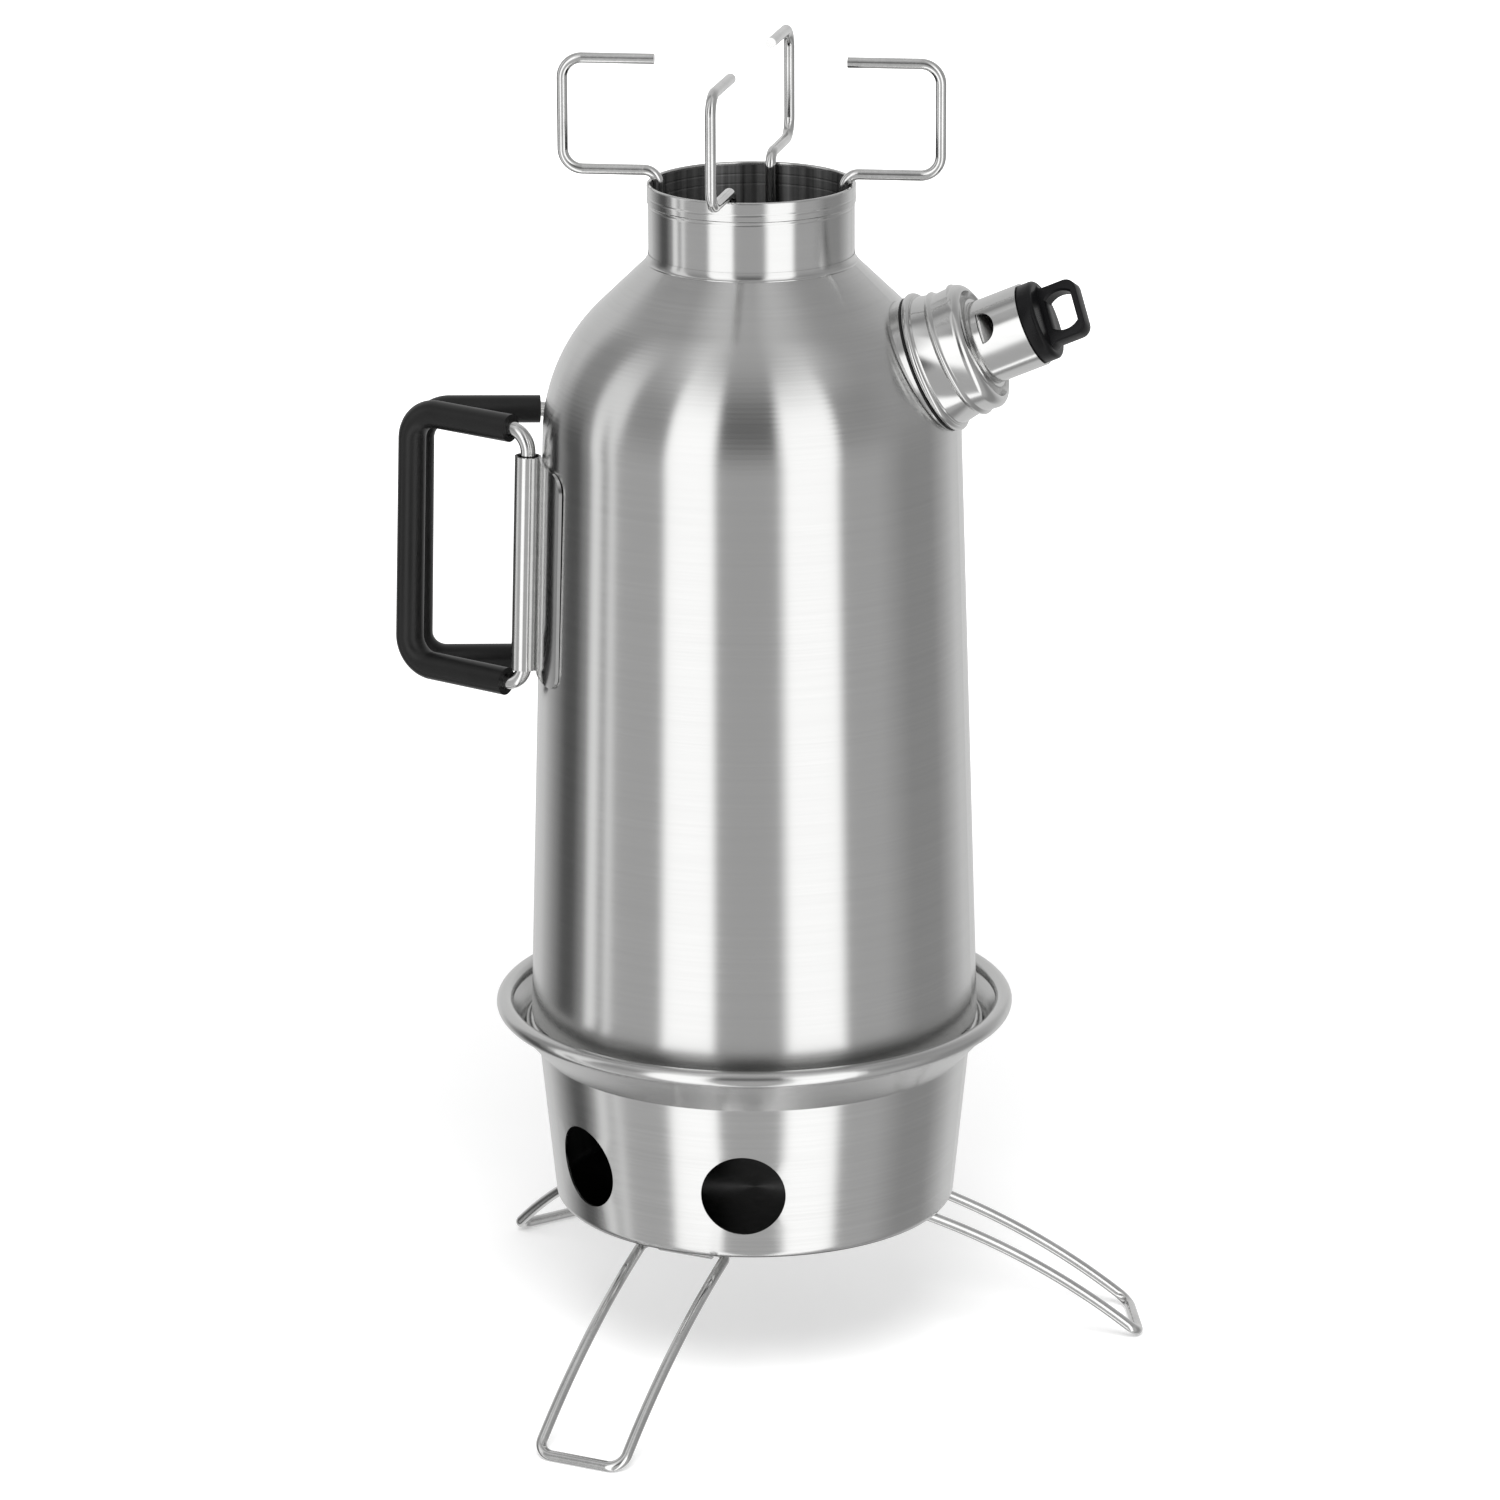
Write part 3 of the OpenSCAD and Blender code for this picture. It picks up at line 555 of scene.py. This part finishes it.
def moulded_tab():
    """The flat tab with rounded edges, and its hole cut with eased edges."""
    side = [
        (tab_half + tab_foot, tab_low - foot_depth),
        *rounded((tab_half + tab_foot, tab_low + tab_foot), tab_foot, 270, 180, 3),
        *rounded((tab_half - tab_corner, tab_high - tab_corner), tab_corner, 0, 90, 8),
    ]
    outline = [*side, *[(-x, z) for x, z in reversed(side)]]
    half = tab_thick / 2
    tab = pulled("loop_tab", outline, [(-half, 1.0), (half, 1.0)])
    bpy.ops.mesh.select_mode(type="FACE")
    bpy.ops.mesh.select_all(action="DESELECT")
    bpy.ops.mesh.select_face_by_sides(number=4, type="GREATER")
    bpy.ops.mesh.region_to_loop()
    bpy.ops.mesh.bevel(offset=tab_edge_round * mm, segments=3)
    bpy.ops.mesh.select_mode(type="VERT")
    bpy.ops.object.mode_set(mode="OBJECT")
    flat_at = degrees(asin(hole_flat / hole_radius))
    hole = [
        *rounded((0.0, hole_middle), hole_radius, -flat_at, flat_at, 16),
        *rounded((0.0, hole_middle), hole_radius, 180 - flat_at, 180 + flat_at, 16),
    ]
    wide = 1.0 + hole_ease / hole_radius
    cutter = pulled("loop_hole", hole, [
        (-half - cutter_proud, wide),
        (-half + hole_ease, 1.0),
        (half - hole_ease, 1.0),
        (half + cutter_proud, wide),
    ])
    bpy.ops.object.mode_set(mode="OBJECT")
    bpy.context.view_layer.objects.active = tab
    cut = tab.modifiers.new("hole", "BOOLEAN")
    cut.operation = "DIFFERENCE"
    cut.object = cutter
    bpy.ops.object.modifier_apply(modifier="hole")
    bpy.data.objects.remove(cutter)
    bpy.ops.object.mode_set(mode="EDIT")
    bpy.ops.mesh.select_all(action="SELECT")
    spin_piece(tab_turn)
    bpy.ops.object.mode_set(mode="OBJECT")
    return tab


dress(fit_on_spout(moulded_ring(), moulded_tab()), "pull_loop", "cap", "cap_loop", "loop_plastic")


# Camera: the photograph's view, from a little to the right of the front and above

camera_turn = radians(14.0)
camera_drop = radians(16.631)
camera_roll = -0.004
camera_place = Vector((0.4285, -1.7226, 0.70526))
camera = bpy.data.objects.new("camera", bpy.data.cameras.new("camera"))
camera.data.lens = 158.56
camera.data.sensor_width = 36.0
sideways = Matrix.Rotation(camera_turn, 4, "Z")
downwards = Matrix.Rotation(radians(90.0) - camera_drop, 4, "X")
rolled = Matrix.Rotation(camera_roll, 4, "Z")
camera.matrix_world = Matrix.Translation(camera_place) @ sideways @ downwards @ rolled
bpy.context.scene.collection.objects.link(camera)
bpy.context.scene.camera = camera


# Studio: a pale room with two tall soft boxes in front, a slit light and a dark flag on the left

camera_side = camera_turn - radians(90.0)
eye_level = -0.07
eye_level_blend = 0.26
overhead_from = 0.47
overhead_blend = 0.40
brightest = 2.0
floor_radius = 12.0
floor_shade = 0.80
floor_glow = 0.36
glow_from = 0.35
glow_over = 1.2

# What stands round the room at three heights: from and to in degrees to the right of the camera,
# and how bright it is. From each thing to the next the light changes evenly.
below_eye_level = {
    "back wall on the left": (-180, -148, 0.72),
    "dark flag": (-119, -109, 0.10),
    "flag's lit edge": (-104, -100, 0.30),
    "slit light, outer half": (-96.5, -92, 1.12),
    "bar of the slit light": (-88.5, -86.5, 0.44),
    "slit light, inner half": (-83.5, -81.5, 1.00),
    "left wall": (-78, -51, 0.53),
    "left soft box": (-46.5, -22.5, 1.54),
    "camera and its stand": (-18.5, 13, 0.53),
    "right soft box": (19.5, 45, 1.54),
    "right wall": (50.5, 72, 0.52),
    "dim corner": (92, 114, 0.34),
    "back wall on the right": (141, 180, 0.72),
}
above_eye_level = {
    "back wall on the left": (-180, -135, 0.71),
    "dark flag": (-123, -103, 0.34),
    "slit light": (-97, -79, 1.00),
    "left wall": (-74, -49.5, 0.35),
    "left soft box": (-46, -22, 1.58),
    "camera and its stand": (-17.5, 11.5, 0.15),
    "right soft box": (18, 46, 1.55),
    "right wall": (51, 70, 0.35),
    "dim corner": (90, 115, 0.42),
    "back wall on the right": (165, 180, 0.72),
}
high_up = {
    "back wall on the left": (-180, -134, 0.60),
    "dark flag": (-110, -98, 0.33),
    "glow of the left soft box": (-58, -45, 0.81),
    "front of the room": (-22, 10, 0.52),
    "glow of the right soft box": (39, 56, 0.72),
    "dim corner": (88, 115, 0.40),
    "back wall on the right": (175, 180, 0.60),
}


def studio_room():
    """The light that the steel mirrors; to the camera itself the room is plain white."""
    world = bpy.data.worlds.new("studio")
    bpy.context.scene.world = world
    world.use_nodes = True
    world.node_tree.nodes.clear()
    f = Finish(world.node_tree)
    way = f.node("ShaderNodeTexCoord", out="Generated")
    parts = f.node("ShaderNodeSeparateXYZ", sockets={0: way}).socket.node.outputs
    x, y, z = [Value(f, part) for part in parts]
    front = x * cos(camera_side) + y * sin(camera_side)
    right = x * -sin(camera_side) + y * cos(camera_side)
    turn = right.math("ARCTAN2", front) / (2 * pi) + 0.5

    def light_of(things):
        stops = []
        for start, end, level in things.values():
            stops += [((edge + 180) / 360, level / brightest) for edge in (start, end)]
        return f.ramp(turn, *stops) * brightest

    rising = ((z - eye_level) / eye_level_blend).clamped()
    overhead = ((z - overhead_from) / overhead_blend).clamped()
    walls = light_of(below_eye_level) * (1 - rising) + light_of(above_eye_level) * rising
    level = walls * (1 - overhead) + light_of(high_up) * overhead
    seen = f.node("ShaderNodeLightPath", out="Is Camera Ray")
    light = f.node("ShaderNodeBackground", sockets={"Color": level, "Strength": 1.0})
    white = f.node("ShaderNodeBackground", sockets={"Color": (1, 1, 1, 1), "Strength": 1.0})
    both = f.node("ShaderNodeMixShader", sockets={0: seen, 1: light, 2: white})
    f.node("ShaderNodeOutputWorld", sockets={"Surface": both})


def pale_floor():
    """A matt floor that keeps the shadow, brightens away from the kettle, and doesn't show in the steel."""
    bpy.ops.object.select_all(action="DESELECT")
    bpy.ops.mesh.primitive_circle_add(vertices=96, radius=floor_radius, fill_type="NGON")
    floor = bpy.context.object
    floor.name = "floor"
    material = bpy.data.materials.new("floor")
    material.use_nodes = True
    material.node_tree.nodes.clear()
    f = Finish(material.node_tree)
    path = f.node("ShaderNodeLightPath", out="Is Camera Ray")
    rays = path.socket.node.outputs
    mirrored = Value(f, rays["Is Glossy Ray"]) * (1 - Value(f, rays["Diffuse Depth"])).clamped()
    matt = f.node("ShaderNodeBsdfDiffuse", sockets={"Color": (floor_shade, floor_shade, floor_shade, 1)})
    x, y, z = f.place()
    far = (((x * x + y * y) ** 0.5 - glow_from) / glow_over).clamped()
    bright = path * (floor_glow + far)
    glow = f.node("ShaderNodeEmission", sockets={"Color": (1, 1, 1, 1), "Strength": bright})
    lit = f.node("ShaderNodeAddShader", sockets={0: matt, 1: glow})
    clear = f.node("ShaderNodeBsdfTransparent")
    both = f.node("ShaderNodeMixShader", sockets={0: mirrored, 1: lit, 2: clear})
    f.node("ShaderNodeOutputMaterial", sockets={"Surface": both})
    floor.data.materials.append(material)


def front_lamp():
    """A wide soft lamp above the camera, unseen in the steel: it draws the shadow under the bowl."""
    reach = 1.6
    above = radians(52.0)
    level = cos(above) * reach
    place = Vector((level * cos(camera_side), level * sin(camera_side), sin(above) * reach))
    aim = place.to_track_quat("Z", "Y").to_euler()
    bpy.ops.object.light_add(type="AREA", location=place, rotation=aim)
    lamp = bpy.context.object
    lamp.name = "front_lamp"
    lamp.data.shape = "DISK"
    lamp.data.size = 0.8
    lamp.data.energy = 17.0
    lamp.visible_glossy = False


studio_room()
pale_floor()
front_lamp()
bpy.context.scene.view_settings.view_transform = "Standard"
